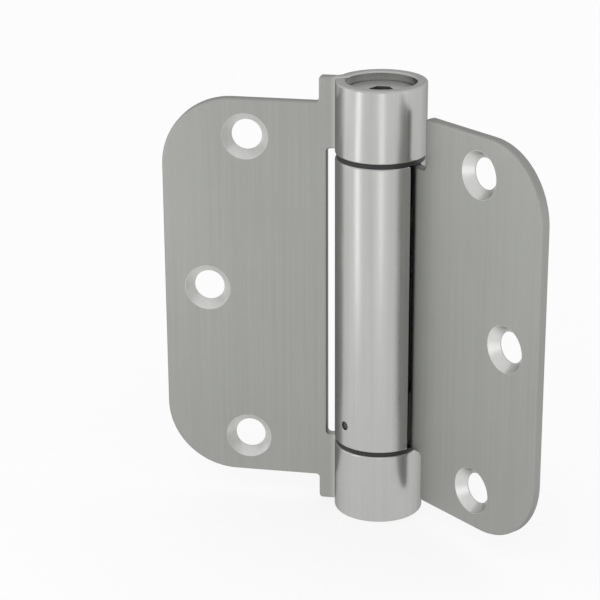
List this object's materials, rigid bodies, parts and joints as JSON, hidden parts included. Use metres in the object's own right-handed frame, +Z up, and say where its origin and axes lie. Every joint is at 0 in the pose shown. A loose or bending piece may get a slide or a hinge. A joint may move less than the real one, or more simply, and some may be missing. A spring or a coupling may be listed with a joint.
{
  "type": "spring hinge",
  "caption": "Self-closing door hinge: two curled steel leaves with rounded outer corners and countersunk holes, turning on a barrel that holds a torsion spring.",
  "frame": {"origin": "on the frame leaf's back face, midway between its upper and lower screw holes", "axes": "+Z up along the pivot axis, +Y out of the frame leaf's back face into the door frame, +X from the frame leaf to the barrel"},
  "size_m": [0.0885, 0.0416, 0.1004],
  "materials": {
    "satin_nickel": "satin nickel plate, finely brushed along the barrel",
    "spindle_steel": "satin nickel over turned steel",
    "bush_nylon": "black moulded nylon",
    "inner_steel": "plain turned steel",
    "pin_steel": "dark driven pin",
    "spring_steel": "oiled spring wire"
  },
  "bodies": {
    "frame_side": {"frame_leaf": "satin_nickel", "bottom_cap": "spindle_steel", "lower_bush": "bush_nylon"},
    "door_side": {"door_leaf": "satin_nickel", "upper_bush": "bush_nylon", "spring_anchor": "inner_steel", "anchor_pin": "pin_steel", "torsion_spring": "spring_steel"},
    "adjuster": {"adjusting_spindle": "spindle_steel"}
  },
  "joints": [
    {"name": "leaf_pivot", "type": "hinge", "parent": "frame_side", "child": "door_side", "pos_m": [0.0304, -0.0031, 0], "axis": [0, 0, 1], "range_deg": [-139, 41], "stiffness_Nm_per_rad": 0.55, "deforming": ["torsion_spring"]},
    {"name": "tension_adjust", "type": "hinge", "parent": "frame_side", "child": "adjuster", "pos_m": [0.0304, -0.0031, 0.0421], "axis": [0, 0, 1], "range_deg": [-300, 0], "deforming": ["torsion_spring"]}
  ]
}
